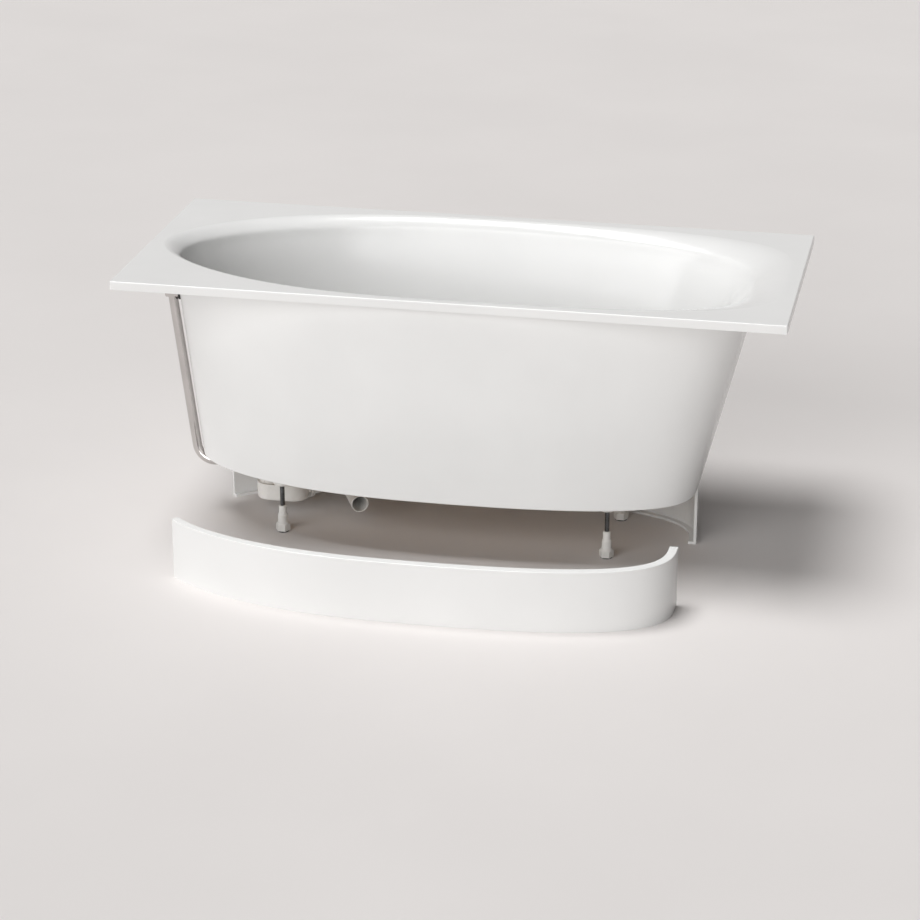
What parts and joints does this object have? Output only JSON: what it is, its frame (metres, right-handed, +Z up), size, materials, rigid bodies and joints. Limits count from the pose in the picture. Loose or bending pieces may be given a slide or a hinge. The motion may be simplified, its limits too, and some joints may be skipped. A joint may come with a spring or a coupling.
{
  "type": "built-in bathtub",
  "caption": "Rectangular-rim bathtub with an oval basin, tapered oval shell, screw feet, trap and overflow pipe, and a two-part oval plinth whose front half pulls out.",
  "frame": {"origin": "on the floor under the middle of the whole part's box, with the front plinth pulled out", "axes": "+X along the bath away from the drain, +Y from the front plinth to the back of the rim, +Z up"},
  "size_m": [1.6, 0.99, 0.685],
  "materials": {
    "white_acrylic": "smooth glossy sanitary white",
    "birch_board": "bare plywood",
    "white_plastic": "satin moulded white",
    "zinc_steel": "zinc plated",
    "brass": "turned",
    "chrome": "polished plating",
    "black_rubber": "moulded, dull"
  },
  "bodies": {
    "tub": {"bath_bowl": "white_acrylic", "outer_shell": "white_acrylic", "plinth_rear": "white_acrylic", "base_board": "birch_board", "floor_bearers": "birch_board", "foot_boss_front_left": "white_plastic", "foot_boss_front_right": "white_plastic", "foot_boss_back_left": "white_plastic", "foot_boss_back_right": "white_plastic", "waste_body": "white_plastic", "trap_body": "white_plastic", "trap_cover": "white_plastic", "trap_lid": "white_plastic", "trap_nut": "white_plastic", "outlet_nut": "white_plastic", "drain_pipe": "white_plastic", "socket_nut": "white_plastic", "foot_rod_front_left": "zinc_steel", "foot_rod_front_right": "zinc_steel", "foot_rod_back_left": "zinc_steel", "foot_rod_back_right": "zinc_steel", "boss_screws": "zinc_steel", "threaded_inserts": "brass", "plug_cartridge": "brass", "waste_flange": "chrome", "overflow_rosette": "chrome", "overflow_body": "chrome", "overflow_pipe": "chrome", "waste_gasket": "black_rubber", "overflow_gasket": "black_rubber", "overflow_washer": "black_rubber"},
    "front_panel": {"plinth_front": "white_acrylic"},
    "plug": {"plug_cap": "chrome", "plug_seal": "black_rubber"},
    "sole_front_left": {"foot_sole_front_left": "black_rubber"},
    "sleeve_front_left": {"foot_sleeve_front_left": "white_plastic"},
    "sole_front_right": {"foot_sole_front_right": "black_rubber"},
    "sleeve_front_right": {"foot_sleeve_front_right": "white_plastic"},
    "sole_back_left": {"foot_sole_back_left": "black_rubber"},
    "sleeve_back_left": {"foot_sleeve_back_left": "white_plastic"},
    "sole_back_right": {"foot_sole_back_right": "black_rubber"},
    "sleeve_back_right": {"foot_sleeve_back_right": "white_plastic"}
  },
  "joints": [
    {"name": "front_panel_pull", "type": "slide", "parent": "tub", "child": "front_panel", "axis": [0, 1, 0], "range_m": [0, 0.367]},
    {"name": "plug_press", "type": "slide", "parent": "tub", "child": "plug", "axis": [0, 0, 1], "range_m": [-0.008, 0]},
    {"name": "foot_lift_front_left", "type": "slide", "parent": "tub", "child": "sole_front_left", "axis": [0, 0, 1], "range_m": [0, 0.014]},
    {"name": "foot_turn_front_left", "type": "hinge", "parent": "sole_front_left", "child": "sleeve_front_left", "pos_m": [-0.44, -0.02499, 0.04], "axis": [0, 0, 1], "range_deg": [0, 2880]},
    {"name": "foot_lift_front_right", "type": "slide", "parent": "tub", "child": "sole_front_right", "axis": [0, 0, 1], "range_m": [0, 0.014]},
    {"name": "foot_turn_front_right", "type": "hinge", "parent": "sole_front_right", "child": "sleeve_front_right", "pos_m": [0.372, -0.02497, 0.04], "axis": [0, 0, 1], "range_deg": [0, 2880]},
    {"name": "foot_lift_back_left", "type": "slide", "parent": "tub", "child": "sole_back_left", "axis": [0, 0, 1], "range_m": [0, 0.014]},
    {"name": "foot_turn_back_left", "type": "hinge", "parent": "sole_back_left", "child": "sleeve_back_left", "pos_m": [-0.44, 0.21499, 0.04], "axis": [0, 0, 1], "range_deg": [0, 2880]},
    {"name": "foot_lift_back_right", "type": "slide", "parent": "tub", "child": "sole_back_right", "axis": [0, 0, 1], "range_m": [0, 0.014]},
    {"name": "foot_turn_back_right", "type": "hinge", "parent": "sole_back_right", "child": "sleeve_back_right", "pos_m": [0.372, 0.21497, 0.04], "axis": [0, 0, 1], "range_deg": [0, 2880]}
  ],
  "couplings": [
    {"joint": "foot_turn_front_left", "follows": "foot_lift_front_left", "rad_per_m": 3590.4},
    {"joint": "foot_turn_front_right", "follows": "foot_lift_front_right", "rad_per_m": 3590.4},
    {"joint": "foot_turn_back_left", "follows": "foot_lift_back_left", "rad_per_m": 3590.4},
    {"joint": "foot_turn_back_right", "follows": "foot_lift_back_right", "rad_per_m": 3590.4}
  ]
}
